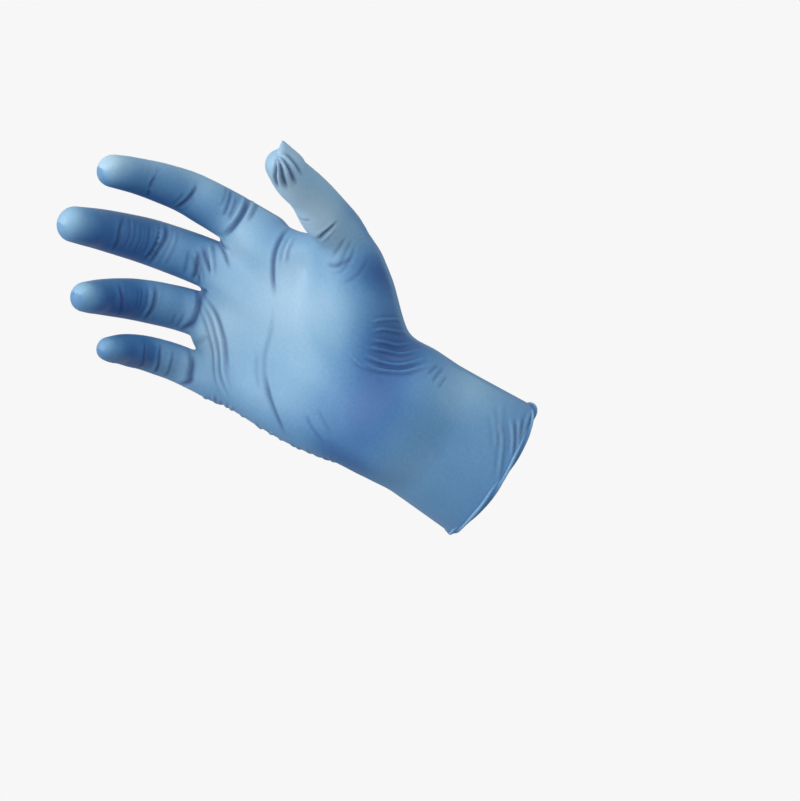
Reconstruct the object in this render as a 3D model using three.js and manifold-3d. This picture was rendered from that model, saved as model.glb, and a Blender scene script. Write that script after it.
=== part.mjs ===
// A disposable nitrile examination glove, right hand, size medium, as it stands
// when it is worn: cuff, palm, four fingers and a thumb, hollow all through.
// Millimetres. +Z runs from the cuff mouth towards the fingers, the palm faces
// -Y and the thumb is on the +X side. The origin is the centre of the cuff mouth.
import * as THREE from 'three';
import { LoftGeometry } from 'three/addons/geometries/LoftGeometry.js';
import Module from 'manifold-3d';

const wasm = await Module();
wasm.setup();

// ---- driving dimensions ----

const FILM = 0.6;            // wall of the film
const GAP = 0.3;             // clearance between neighbouring pieces
const SIDES = 20;            // facets round a finger
const PALM_SIDES = 40;       // facets round the cuff and the palm
const WELDS_PER_MM = 1e4;    // points closer than this share one vertex
const PAST = 1;              // how far a bore runs past the end of its tube

const BEAD_RADIUS = 1.0;     // rolled edge of the cuff
const BEAD_SIDES = 8;        // facets round the rolled edge
const MOUTH_HALF = [30.8, 23.5];   // half width and half depth of the cuff at its mouth
const WRIST_HALF = [27.5, 19.5];   // the same at the wrist
const FLARE = [-0.5, 1];     // stretch of a smooth step that the cuff narrows along
const WRIST_HEIGHT = 50;     // wrist crease above the mouth
const WRIST_FOLD = 12;       // film that folds, each side of the wrist crease
const WRIST_BACK = 29;       // degrees that the hand is bent back at rest
const WRIST_ASIDE = 6;       // degrees that it leans towards the little finger

const FINGER_FOLD = 4.6;     // film that folds, each side of a finger joint
const DEPTH_RATIO = 0.93;    // depth of a finger over its width
const DOME_RATIO = 1.1;      // height of a fingertip's dome over its half width
const DOME_END = 84;         // degrees up the dome, where a small flat closes it
const ROOT_DEPTH = 22;       // how far a finger's root reaches down into the palm

// Palm sections, from the wrist to the webs of the fingers: height above the
// wrist crease, middle across, half width, middle in depth, half depth, and
// the lean of the section along the knuckles in degrees.
const PALM = [
  { up: 12, across: -1.5, halfWidth: 30, deep: 0, halfDepth: 19, lean: 0 },
  { up: 30, across: -1, halfWidth: 33, deep: 0, halfDepth: 17, lean: 0 },
  { up: 50, across: 0.5, halfWidth: 36.5, deep: 0, halfDepth: 15.5, lean: 3 },
  { up: 68, across: 0.5, halfWidth: 38, deep: -0.5, halfDepth: 13.5, lean: 7 },
  { up: 79, across: 0.5, halfWidth: 36, deep: -1, halfDepth: 10, lean: 10 },
];
const PALM_SQUARENESS = 2.5; // exponent of the palm's flattened oval

// Fingers, from the thumb side. root is the base joint in the palm's frame. Each
// joint's rest angle is bend, and its limits are straight and closed, all in
// degrees towards the palm. lengths run from joint to joint and on to the tip,
// and halfWidths are at the three joints and at the tip.
const FINGERS = [
  {
    name: 'index', root: [28.5, 0, 96], splay: 0,
    bend: [26, 32, 17], straight: [-8, 0, -7], closed: [75, 82, 41],
    lengths: [17.5, 22.5, 25], halfWidths: [9.2, 9.6, 8.6, 8.0],
  },
  {
    name: 'middle', root: [7.6, 0, 96.5], splay: -7,
    bend: [29, 34, 17], straight: [-8, 0, -7], closed: [75, 82, 41],
    lengths: [21.5, 24.5, 26], halfWidths: [9.2, 9.7, 9.0, 8.2],
  },
  {
    name: 'ring', root: [-11.8, -1, 92], splay: -11,
    bend: [46, 33, 16], straight: [-8, 0, -7], closed: [75, 82, 41],
    lengths: [21.5, 22.5, 24.5], halfWidths: [8.8, 8.8, 8.1, 7.5],
  },
  {
    name: 'little', root: [-29.3, -4, 83], splay: -6,
    bend: [56, 26, 12], straight: [-8, 0, -7], closed: [75, 82, 41],
    lengths: [16, 17, 22], halfWidths: [7.9, 7.4, 7.0, 6.4],
  },
];

// The thumb: its base joint and its direction in the palm's frame, and the
// direction in which its tip travels when it closes.
const THUMB = {
  root: [51, -18, 42.5], toward: [10.2, -24, 10.9], closes: [-1, 0, -0.25],
  bend: [0, 4], straight: [-12, -10], closed: [40, 60],
  lengths: [28.5, 29], halfWidths: [10.6, 10.0, 8.6],
};
// The root of the thumb inside the palm, from the heel of the hand outwards.
const THENAR = [
  { at: [10, -3, 27], half: [13, 12] },
  { at: [22, -6, 31], half: [16, 14] },
  { at: [36, -10, 36], half: [15, 13.5] },
];

const NITRILE = { color: 0x6f9ccb, roughness: 0.5, metalness: 0 };
const NITRILE_DEEP = { color: 0x5687bd, roughness: 0.45, metalness: 0 };

// ---- shapes ----

const degrees = THREE.MathUtils.degToRad;

// One closed section of a tube: an oval in the XY plane of a frame.
function section(frame, halfWidth, halfDepth, sides, squareness = 2) {
  const points = [];
  for (let i = 0; i < sides; i++) {
    const turn = (i / sides) * Math.PI * 2;
    const c = Math.cos(turn);
    const s = Math.sin(turn);
    const x = Math.sign(c) * Math.abs(c) ** (2 / squareness) * halfWidth;
    const y = Math.sign(s) * Math.abs(s) ** (2 / squareness) * halfDepth;
    points.push(new THREE.Vector3(x, y, 0).applyMatrix4(frame));
  }
  return points;
}

// A frame at a place, tipped about X by an angle in degrees.
function tipped(x, y, z, angle = 0) {
  return new THREE.Matrix4().makeRotationX(degrees(angle)).setPosition(x, y, z);
}

function shifted(frame, distance) {
  return frame.clone().multiply(new THREE.Matrix4().makeTranslation(0, 0, distance));
}

function solid(sections) {
  const loft = new LoftGeometry(sections, { capStart: true, capEnd: true });
  return toManifold(loft);
}

function toManifold(geometry) {
  const position = geometry.getAttribute('position');
  const places = new Map();
  const coordinates = [];
  const corner = [];
  for (let i = 0; i < position.count; i++) {
    const point = [position.getX(i), position.getY(i), position.getZ(i)];
    const key = point.map((value) => Math.round(value * WELDS_PER_MM)).join();
    if (!places.has(key)) {
      places.set(key, coordinates.length / 3);
      coordinates.push(...point);
    }
    corner.push(places.get(key));
  }
  const index = geometry.getIndex();
  const triangles = [];
  for (let i = 0; i < index.count; i += 3) {
    const [a, b, c] = [0, 1, 2].map((k) => corner[index.getX(i + k)]);
    if (a !== b && b !== c && c !== a) triangles.push(a, b, c);
  }
  return new wasm.Manifold(new wasm.Mesh({
    numProp: 3,
    vertProperties: new Float32Array(coordinates),
    triVerts: new Uint32Array(triangles),
  }));
}

function toMesh(name, manifold, finish) {
  const { vertProperties, triVerts } = manifold.getMesh();
  const geometry = new THREE.BufferGeometry();
  geometry.setAttribute('position', new THREE.BufferAttribute(vertProperties, 3));
  geometry.setIndex(new THREE.BufferAttribute(triVerts, 1));
  geometry.computeVertexNormals();
  const mesh = new THREE.Mesh(geometry, new THREE.MeshStandardMaterial(finish));
  mesh.name = name;
  return mesh;
}

// A film tube through rings of { frame, halfWidth, halfDepth }, open at both ends.
function openTube(rings, sides) {
  const first = rings[0];
  const last = rings[rings.length - 1];
  const bore = [
    { ...first, frame: shifted(first.frame, -PAST) },
    ...rings,
    { ...last, frame: shifted(last.frame, PAST) },
  ];
  return tube(rings, 0, sides).subtract(tube(bore, FILM, sides));
}

function tube(rings, inset, sides, squareness) {
  return solid(rings.map(({ frame, halfWidth, halfDepth }) => (
    section(frame, halfWidth - inset, halfDepth - inset, sides, squareness)
  )));
}

// ---- cuff ----

function cuffBead() {
  const [halfWidth, halfDepth] = MOUTH_HALF;
  const middle = halfWidth - BEAD_RADIUS;
  const bead = new THREE.TorusGeometry(middle, BEAD_RADIUS, BEAD_SIDES, PALM_SIDES * 2);
  bead.scale(1, (halfDepth - BEAD_RADIUS) / middle, 1);
  bead.translate(0, 0, BEAD_RADIUS);
  return toMesh('cuff_bead', toManifold(bead), NITRILE_DEEP);
}

function cuffSleeve() {
  const bottom = 2 * BEAD_RADIUS + GAP;
  const top = WRIST_HEIGHT - WRIST_FOLD;
  const steps = 4;
  const rings = [];
  for (let i = 0; i <= steps; i++) {
    const share = THREE.MathUtils.smoothstep(i / steps, ...FLARE);
    rings.push({
      frame: tipped(0, 0, bottom + (top - bottom) * (i / steps)),
      halfWidth: THREE.MathUtils.lerp(MOUTH_HALF[0], WRIST_HALF[0], share),
      halfDepth: THREE.MathUtils.lerp(MOUTH_HALF[1], WRIST_HALF[1], share),
    });
  }
  return toMesh('cuff_sleeve', openTube(rings, PALM_SIDES), NITRILE);
}

// ---- folds ----

// The band of film that folds at a joint. It is built in the frame of the
// piece before the joint; turn is the rest pose of the piece after it.
function foldBand({ reach, turn, slant, before, after, sides, aside = 0 }) {
  const start = tipped(0, 0, GAP - reach, slant);
  const finish = turn.clone().multiply(tipped(aside, 0, reach - GAP, -slant));
  const place = (frame) => new THREE.Vector3().setFromMatrixPosition(frame);
  const facing = (frame) => new THREE.Quaternion().setFromRotationMatrix(frame);
  const line = new THREE.QuadraticBezierCurve3(place(start), new THREE.Vector3(), place(finish));
  const steps = 4;
  const rings = [];
  for (let i = 0; i <= steps; i++) {
    const share = i / steps;
    const frame = new THREE.Matrix4().makeRotationFromQuaternion(
      facing(start).slerp(facing(finish), share),
    );
    rings.push({
      frame: frame.setPosition(line.getPoint(share)),
      halfWidth: THREE.MathUtils.lerp(before[0], after[0], share),
      halfDepth: THREE.MathUtils.lerp(before[1], after[1], share),
    });
  }
  return openTube(rings, sides);
}

// The ends beside a joint are cut on the slant, with more film left to the
// fold on the palm side, so that they meet neither way.
function slantOf(straight, closed) {
  return (straight + closed) / 4;
}

// ---- palm ----

function palmSolid(inset) {
  const rings = PALM.map(({ up, across, halfWidth, deep, halfDepth, lean }) => ({
    frame: new THREE.Matrix4().makeRotationY(-degrees(lean)).setPosition(across, deep, up),
    halfWidth,
    halfDepth,
  }));
  if (inset) {
    rings.unshift({ ...rings[0], frame: shifted(rings[0].frame, -PAST) });
    rings[rings.length - 1].frame = shifted(rings[rings.length - 1].frame, -inset);
  }
  return tube(rings, inset, PALM_SIDES, PALM_SQUARENESS);
}

// The root of each finger that stands on the palm, up to its base fold.
function fingerRoot(finger, inset) {
  const [x, y, z] = finger.root;
  const frame = new THREE.Matrix4().makeRotationY(degrees(finger.splay)).setPosition(x, y, z);
  const slant = slantOf(finger.straight[0], finger.closed[0]);
  const halfWidth = finger.halfWidths[0];
  const halfDepth = halfWidth * DEPTH_RATIO;
  const end = frame.clone().multiply(tipped(0, 0, -FINGER_FOLD, slant));
  const rings = [
    { frame: shifted(frame, -ROOT_DEPTH), halfWidth, halfDepth },
    { frame: end, halfWidth, halfDepth },
  ];
  if (inset) rings.push({ frame: shifted(end, PAST), halfWidth, halfDepth });
  return tube(rings, inset, SIDES);
}

// A frame at a place that looks along a direction, with its Y side to the back.
function aimed(at, along, back) {
  const z = along.clone().normalize();
  const y = back.clone().projectOnPlane(z).normalize();
  const x = new THREE.Vector3().crossVectors(y, z);
  return new THREE.Matrix4().makeBasis(x, y, z).setPosition(at);
}

function thumbFrame() {
  const [root, toward, closes] = [THUMB.root, THUMB.toward, THUMB.closes].map(
    (values) => new THREE.Vector3(...values),
  );
  return aimed(root, toward, closes.negate());
}

function thumbRoot(inset) {
  const slant = slantOf(THUMB.straight[0], THUMB.closed[0]);
  const end = thumbFrame().multiply(tipped(0, 0, -FINGER_FOLD, slant));
  const back = new THREE.Vector3(...THUMB.closes).negate();
  const path = [...THENAR.map(({ at }) => at), THUMB.root].map((at) => new THREE.Vector3(...at));
  const rings = THENAR.map(({ half }, i) => {
    const along = path[i + 1].clone().sub(path[Math.max(i - 1, 0)]);
    return { frame: aimed(path[i], along, back), halfWidth: half[0], halfDepth: half[1] };
  });
  rings.push({
    frame: end, halfWidth: THUMB.halfWidths[0], halfDepth: THUMB.halfWidths[0] * DEPTH_RATIO,
  });
  if (inset) rings.push({ ...rings[rings.length - 1], frame: shifted(end, PAST) });
  return tube(rings, inset, PALM_SIDES);
}

function palmShell() {
  const whole = (inset) => FINGERS.reduce(
    (body, finger) => body.add(fingerRoot(finger, inset)),
    palmSolid(inset).add(thumbRoot(inset)),
  );
  return toMesh('palm_shell', whole(0).subtract(whole(FILM)), NITRILE);
}

// ---- fingers ----

// The stretch of a finger between two folds, open at both ends.
function stall({ from, to, slantBefore, slantAfter, before, after }) {
  const rings = [
    { frame: tipped(0, 0, from, -slantBefore), halfWidth: before, halfDepth: before * DEPTH_RATIO },
    { frame: tipped(0, 0, to, slantAfter), halfWidth: after, halfDepth: after * DEPTH_RATIO },
  ];
  return openTube(rings, SIDES);
}

// The closed end of a finger: a tube that ends in a dome.
function fingertip({ from, length, slantBefore, before, after }) {
  const domed = (inset) => {
    const dome = after * DOME_RATIO;
    const steps = 5;
    const start = tipped(0, 0, from, -slantBefore);
    const rings = [{ frame: start, halfWidth: before, halfDepth: before * DEPTH_RATIO }];
    if (inset) rings.unshift({ ...rings[0], frame: shifted(start, -PAST) });
    for (let i = 0; i <= steps; i++) {
      const turn = (i / steps) * degrees(DOME_END);
      const half = after * Math.cos(turn) + inset * (1 - Math.cos(turn));
      rings.push({
        frame: tipped(0, 0, length - dome + (dome - inset) * Math.sin(turn)),
        halfWidth: half,
        halfDepth: THREE.MathUtils.lerp(inset, half, DEPTH_RATIO),
      });
    }
    return tube(rings, inset, SIDES);
  };
  return domed(0).subtract(domed(FILM));
}

// Builds one finger or the thumb on its root frame: for each joint, a fold in
// the group before it and a stall or fingertip in the group that turns.
function addFinger(parent, digit, names, frame) {
  let group = new THREE.Group();
  group.applyMatrix4(frame);
  parent.add(group);
  const count = digit.lengths.length;
  const slants = digit.straight.map((straight, i) => slantOf(straight, digit.closed[i]));
  for (let i = 0; i < count; i++) {
    const half = digit.halfWidths[i];
    const step = (digit.halfWidths[i + 1] - half) * (FINGER_FOLD / digit.lengths[i]);
    const round = (width) => [width, width * DEPTH_RATIO];
    const fold = foldBand({
      reach: FINGER_FOLD, turn: tipped(0, 0, 0, digit.bend[i]), slant: slants[i],
      before: round(half), after: round(half + step), sides: SIDES,
    });
    group.add(toMesh(`${digit.name}_${names[i].fold}`, fold, NITRILE_DEEP));

    const joint = new THREE.Group();
    joint.rotation.x = degrees(digit.bend[i]);
    group.add(joint);
    const last = i === count - 1;
    const piece = last
      ? fingertip({
        from: FINGER_FOLD, length: digit.lengths[i], slantBefore: slants[i],
        before: half + step, after: digit.halfWidths[i + 1],
      })
      : stall({
        from: FINGER_FOLD, to: digit.lengths[i] - FINGER_FOLD,
        slantBefore: slants[i], slantAfter: slants[i + 1],
        before: half + step, after: digit.halfWidths[i + 1],
      });
    joint.add(toMesh(`${digit.name}_${names[i].piece}`, piece, NITRILE));

    group = new THREE.Group();
    group.position.z = digit.lengths[i];
    joint.add(group);
  }
}

// ---- the glove ----

const glove = new THREE.Group();
glove.add(cuffBead(), cuffSleeve());

const wrist = new THREE.Group();
wrist.position.z = WRIST_HEIGHT;
glove.add(wrist);
const palm = new THREE.Group();
palm.rotation.set(degrees(-WRIST_BACK), degrees(-WRIST_ASIDE), 0);
wrist.add(palm);
palm.add(palmShell());

const wristFold = foldBand({
  reach: WRIST_FOLD, turn: new THREE.Matrix4().makeRotationFromEuler(palm.rotation), slant: 0,
  before: WRIST_HALF, after: [PALM[0].halfWidth, PALM[0].halfDepth], sides: PALM_SIDES,
  aside: PALM[0].across,
});
wrist.add(toMesh('wrist_fold', wristFold, NITRILE_DEEP));

for (const finger of FINGERS) {
  const frame = new THREE.Matrix4().makeRotationY(degrees(finger.splay)).setPosition(...finger.root);
  addFinger(palm, finger, [
    { fold: 'base_fold', piece: 'proximal' },
    { fold: 'middle_fold', piece: 'middle' },
    { fold: 'tip_fold', piece: 'tip' },
  ], frame);
}
addFinger(palm, { ...THUMB, name: 'thumb' }, [
  { fold: 'base_fold', piece: 'proximal' },
  { fold: 'tip_fold', piece: 'tip' },
], thumbFrame());

export default glove;
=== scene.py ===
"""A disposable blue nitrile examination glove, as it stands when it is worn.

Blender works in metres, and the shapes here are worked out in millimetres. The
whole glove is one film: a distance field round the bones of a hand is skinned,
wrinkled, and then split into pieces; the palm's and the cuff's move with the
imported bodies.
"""
import math

import bpy
import numpy as np
from mathutils import Matrix, Vector


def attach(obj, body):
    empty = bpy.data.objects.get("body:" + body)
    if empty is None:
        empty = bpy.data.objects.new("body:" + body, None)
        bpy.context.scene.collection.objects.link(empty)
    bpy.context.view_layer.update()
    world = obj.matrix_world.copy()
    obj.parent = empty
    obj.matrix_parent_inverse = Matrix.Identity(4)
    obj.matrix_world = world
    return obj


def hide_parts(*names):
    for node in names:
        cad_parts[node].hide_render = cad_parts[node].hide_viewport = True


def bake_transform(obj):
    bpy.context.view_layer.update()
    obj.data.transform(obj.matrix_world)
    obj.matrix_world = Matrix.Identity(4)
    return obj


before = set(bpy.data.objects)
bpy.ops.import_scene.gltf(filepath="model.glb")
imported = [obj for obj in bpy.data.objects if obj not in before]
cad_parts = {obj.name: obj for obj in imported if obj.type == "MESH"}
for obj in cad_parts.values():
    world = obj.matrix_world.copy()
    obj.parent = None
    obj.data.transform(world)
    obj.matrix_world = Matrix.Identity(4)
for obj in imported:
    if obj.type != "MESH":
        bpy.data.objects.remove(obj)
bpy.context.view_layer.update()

# ---- driving dimensions, millimetres and degrees, as in the CAD ----

MOUTH_HALF = (30.8, 23.5)
WRIST_HALF = (27.5, 19.5)
WRIST_HEIGHT = 50.0
WRIST_BACK = 29.0
WRIST_ASIDE = 6.0
DEPTH_RATIO = 0.93
BEAD_RADIUS = 1.0

# Each digit from its first joint, in the palm's frame: X to the thumb, Y to the
# back, Z to the fingers.
FINGERS = {
    "index": dict(root=(28.5, 0, 96), splay=0, bend=(26, 32, 17), lengths=(17.5, 22.5, 25)),
    "middle": dict(root=(7.6, 0, 96.5), splay=-7, bend=(29, 34, 17), lengths=(21.5, 24.5, 26)),
    "ring": dict(root=(-11.8, -1, 92), splay=-11, bend=(46, 33, 16), lengths=(21.5, 22.5, 24.5)),
    "little": dict(root=(-29.3, -4, 83), splay=-6, bend=(56, 26, 12), lengths=(16, 17, 22)),
}
THUMB = dict(root=(51, -18, 42.5), toward=(10.2, -24, 10.9), closes=(-1, 0, -0.25),
             bend=(0, 4), lengths=(28.5, 29))

# ---- sizes of the visual model's own, in millimetres ----

FILM = 0.35                              # thickness of the film
PITCH = 0.67      # grid that the skin is drawn from
FIELD_LOW, FIELD_HIGH = (-62, -42, -6), (78, 66, 205)
MOUTH_LEVEL = 1.0                        # where the film ends, in the bead's middle
RELAX_ROUNDS, RELAX_SHARE = 4, 0.5       # how often points even out, and how far each time
MM = 0.001

# The bones of the palm: start, end, radius at the wrist and at the knuckle.
METACARPALS = (
    ((6.5, 1, -6), (29, -1, 80), 16.0, 10.6),
    ((3, 1, -6), (8.5, 0, 82), 17.5, 10.8),
    ((-5, 1, -6), (-11, -1, 75.5), 17.5, 10.3),
    ((-10, 0, -6), (-26.8, -3.5, 66), 15.5, 8.3),
)
METACARPAL_FLAT = 0.98
# The pads below the little finger and below the thumb.
LITTLE_PAD = dict(at=(-19.5, -6, 31), radii=(12.5, 11, 32))
THUMB_PAD = dict(at=(26, -8, 28), toward=(38, -13, 31.0), radii=(16, 14, 25))
# The thumb's own metacarpal, and the film from it to the index finger: start,
# end, radius at each and depth over width.
THUMB_LIMBS = (
    ((12, -3, 12), (41, -13.2, 34.7), 14.0, 11.4, 0.95),
    ((43, -12.5, 43), (31, -2, 70), 6.0, 6.0, 1.0),
)
# The film between the fingers: start, end and radius.
WEBS = (
    ((25, -2, 86), (10, -2, 86), 5.4),
    ((5, -3, 81), (-9, -3, 81), 5.4),
    ((-14, -4.5, 65.5), (-25, -5, 65.0), 5.0),
)
# The digits as they fill the film: half widths at the joints and the tip, how far
# the flesh lies to the thumb side at each of them, and how far to the back.
FLESH = {
    "index": dict(half=(9.4, 8.6, 7.2, 6.4), aside=(2.6, 3.2, 1.8, 0.6), back=0),
    "middle": dict(half=(9.7, 9.2, 8.0, 7.0), aside=(2.2, 1.8, 1.2, 1.0), back=0),
    "ring": dict(half=(8.8, 8.3, 7.0, 5.8), aside=(1.6, 0.3, -0.9, -0.9), back=0),
    "little": dict(half=(7.4, 6.9, 6.1, 4.6), aside=(-0.1, 0.1, 0.4, 0.8), back=0),
    "thumb": dict(half=(10.2, 8.8, 6.9), aside=(0, 0, 0), back=-1.0),
}
ROOT_RUN, ROOT_MORE = 20, 0.3            # a finger goes on into the palm, a little wider
TIP_SLACK = 0.8                          # empty film past a fingertip
THUMB_HEEL, THUMB_HEEL_HALF = (34, -10.7, 29.2), 12.2
JOINT_SOFT, JOINT_SAMPLES = 6.5, 9       # how far from a joint the bend starts
CURVE_STEP = 4.5
# The pad on each bone: how far it lies to the palm side and its two radii across,
# in half widths, and how far it reaches past the bone's ends.
PAD_DROP, PAD_RADII, PAD_PAST = 0.2, (0.88, 0.86), 4
# The empty film past the thumb, from inside the thumb to its pinched point.
POINT_START, POINT_END, POINT_RADII = (0.8, 2.0, -9), (2.7, 5.6, 2.4), (5.7, 0.7)
DOME_BELOW = 6                           # how far below the wrist the cuff's dome starts
CUFF_TAPER = (-0.5, 1)                   # where the cuff narrows, over the wrist's height
# How near two surfaces start to round into each other, where a group of shapes
# meets the rest and within the group.
PALM_FILLETS, WEB_FILLETS = (7, 8), (3, 1)
FINGER_FILLETS, THUMB_FILLETS = (1.2, 1.4), (4, 1.4)


# ---- frames ----

def turn_x(angle):
    c, s = math.cos(math.radians(angle)), math.sin(math.radians(angle))
    return np.array([[1, 0, 0], [0, c, -s], [0, s, c]])


def turn_y(angle):
    c, s = math.cos(math.radians(angle)), math.sin(math.radians(angle))
    return np.array([[c, 0, s], [0, 1, 0], [-s, 0, c]])


def unit(vector):
    vector = np.asarray(vector, float)
    return vector / np.linalg.norm(vector)


def step(value, low, high):
    """A smooth step from 0 at low to 1 at high."""
    t = np.clip((value - low) / (high - low), 0, 1)
    return t * t * (3 - 2 * t)


def aimed(along, back):
    """Axes with Z along a direction and Y towards the back, as columns."""
    z = unit(along)
    y = unit(np.asarray(back, float) - np.dot(back, z) * z)
    return np.column_stack([np.cross(y, z), y, z])


UPWARD = np.array([0, 0, 1.0])
PALM_AT = np.array([0, 0, WRIST_HEIGHT])
PALM_TURN = turn_x(-WRIST_BACK) @ turn_y(-WRIST_ASIDE)


def from_palm(point):
    """A point of the palm's frame in the row's frame."""
    return PALM_AT + PALM_TURN @ np.asarray(point, float)


def make_digit(shape, turn):
    """A digit in the row's frame: its joints with the tip last, its bones' axes and
    lengths, and the axes before its first joint."""
    before = PALM_TURN @ turn
    places = [from_palm(shape["root"])]
    turns = []
    turn = before
    for angle, length in zip(shape["bend"], shape["lengths"]):
        turn = turn @ turn_x(angle)
        turns.append(turn)
        places.append(places[-1] + turn[:, 2] * length)
    return dict(places=places, turns=turns, lengths=shape["lengths"], before=before)


DIGITS = {name: make_digit(finger, turn_y(finger["splay"])) for name, finger in FINGERS.items()}
DIGITS["thumb"] = make_digit(THUMB, aimed(THUMB["toward"], -np.array(THUMB["closes"], float)))


# ---- the distance field ----

def rounded_min(a, b, blend):
    """The union of two distances, filleted where they are closer than blend."""
    share = np.maximum(blend - np.abs(a - b), 0) / blend
    return np.minimum(a, b) - share * share * blend / 4


class Field:
    """Distances to the glove's surface on a box grid, negative inside."""

    FAR = 1e3
    EDGE = 4      # how far past a group of shapes and its fillet its distances are worked out

    def __init__(self, low, high):
        self.low = np.array(low, float)
        self.count = np.ceil((np.array(high) - self.low) / PITCH).astype(int) + 1
        self.value = np.full(self.count, self.FAR, np.float32)

    def join(self, shapes, fillets=(1, 1)):
        """Joins shapes to what is there, with one fillet there and one between the shapes."""
        blend, within = fillets
        reach = blend + self.EDGE
        low = np.min([shape.low for shape in shapes], axis=0) - reach - self.low
        high = np.max([shape.high for shape in shapes], axis=0) + reach - self.low
        first = np.maximum(np.floor(low / PITCH).astype(int), 0)
        last = np.minimum(np.ceil(high / PITCH).astype(int), self.count)
        axes = [self.low[i] + PITCH * np.arange(first[i], last[i]) for i in range(3)]
        grid = np.stack(np.meshgrid(*axes, indexing="ij"), axis=-1)
        window = tuple(slice(a, b) for a, b in zip(first, last))
        joined = shapes[0].distance(grid)
        for shape in shapes[1:]:
            joined = rounded_min(joined, shape.distance(grid), within)
        self.value[window] = rounded_min(self.value[window], joined, blend)


class Limb:
    """A tapered round-ended limb along Z of its axes, flattened from back to front."""

    def __init__(self, at, turn, length, radii, flat=1.0):
        self.at, self.turn, self.length = np.asarray(at, float), turn, length
        self.radii, self.flat = radii, flat       # flat is its depth over its width
        end = self.at + turn[:, 2] * length
        self.low = np.minimum(self.at, end) - max(radii)
        self.high = np.maximum(self.at, end) + max(radii)

    def distance(self, grid):
        local = (grid - self.at) @ self.turn
        along = np.clip(local[..., 2] / self.length, 0, 1)
        out = np.sqrt(local[..., 0] ** 2 + (local[..., 1] / self.flat) ** 2
                      + (local[..., 2] - along * self.length) ** 2)
        return (out - (self.radii[0] + (self.radii[1] - self.radii[0]) * along)) * self.flat


class Tube:
    """A limb along a curve, as a row of short straight ones."""

    def __init__(self, places, backs, radii, flat):
        self.limbs = []
        for a, b, back, r0, r1 in zip(places, places[1:], backs, radii, radii[1:]):
            self.limbs.append(Limb(a, aimed(b - a, back), np.linalg.norm(b - a), (r0, r1), flat))
        self.low = np.min([limb.low for limb in self.limbs], axis=0)
        self.high = np.max([limb.high for limb in self.limbs], axis=0)

    def distance(self, grid):
        near = self.limbs[0].distance(grid)
        for limb in self.limbs[1:]:
            near = np.minimum(near, limb.distance(grid))
        return near


class Lump:
    """An egg shape with its radii along three axes."""

    def __init__(self, at, turn, radii):
        self.at, self.turn, self.radii = np.asarray(at, float), turn, np.asarray(radii, float)
        self.low = self.at - max(radii)
        self.high = self.at + max(radii)

    def distance(self, grid):
        local = (grid - self.at) @ self.turn
        near = np.linalg.norm(local / self.radii, axis=-1)
        slope = np.linalg.norm(local / self.radii ** 2, axis=-1) + 1e-9
        return near * (near - 1) / slope


def palm_limb(start, end, r0, r1, flat=1.0):
    """A limb between two points of the palm's frame."""
    start, end = from_palm(start), from_palm(end)
    turn = aimed(end - start, PALM_TURN[:, 1])
    return Limb(start, turn, np.linalg.norm(end - start), (r0, r1), flat)


class Sleeve:
    """The cuff, an oval tube that narrows from its mouth and ends in a dome at the wrist."""

    low = np.array([-MOUTH_HALF[0], -MOUTH_HALF[1], -2])
    high = np.array([MOUTH_HALF[0], MOUTH_HALF[1], WRIST_HEIGHT + WRIST_HALF[1]])

    @staticmethod
    def distance(grid):
        share = step(grid[..., 2] / WRIST_HEIGHT, *CUFF_TAPER)
        wide = MOUTH_HALF[0] + (WRIST_HALF[0] - MOUTH_HALF[0]) * share
        deep = MOUTH_HALF[1] + (WRIST_HALF[1] - MOUTH_HALF[1]) * share
        over = np.maximum(grid[..., 2] - WRIST_HEIGHT + DOME_BELOW, 0)
        near = np.sqrt((grid[..., 0] / wide) ** 2 + (grid[..., 1] / deep) ** 2
                       + (over / deep) ** 2)
        return (near - 1) * deep


def flesh_places(name):
    """The joints and the tip of a digit, moved to the middle of its flesh."""
    digit, flesh = DIGITS[name], FLESH[name]
    return [place + digit["before"] @ np.array([aside, flesh["back"], 0])
            for place, aside in zip(digit["places"], flesh["aside"])]


def digit_curve(places, backs, half):
    """Places, back directions and radii along a digit, rounded at its joints."""
    run = np.cumsum([0] + [np.linalg.norm(b - a) for a, b in zip(places, places[1:])])
    where = np.linspace(0, run[-1], math.ceil(run[-1] / CURVE_STEP) + 1)
    soft = np.minimum(JOINT_SOFT, np.minimum(where, run[-1] - where))
    at = where[:, None] + soft[:, None] * np.linspace(-1, 1, JOINT_SAMPLES)
    table = np.column_stack([places, backs, half])
    curve = np.stack([np.interp(at, run, column).mean(axis=1) for column in table.T], axis=1)
    return curve[:, :3], curve[:, 3:6], curve[:, 6]


def bone_pad(start, end, turn, half):
    """The soft side of a bone, swollen towards the palm side."""
    reach = np.linalg.norm(end - start)
    middle = start + turn @ np.array([0, -PAD_DROP * half, 0.5 * reach])
    wide, deep = PAD_RADII
    return Lump(middle, turn, (wide * half, deep * half, 0.5 * reach + PAD_PAST))


def thumb_point(tip, turn):
    """The empty end of the film, pinched to a point past the thumb."""
    start = tip + turn @ np.array(POINT_START)
    end = tip + turn @ np.array(POINT_END)
    return Limb(start, aimed(end - start, turn[:, 1]), np.linalg.norm(end - start), POINT_RADII)


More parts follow.
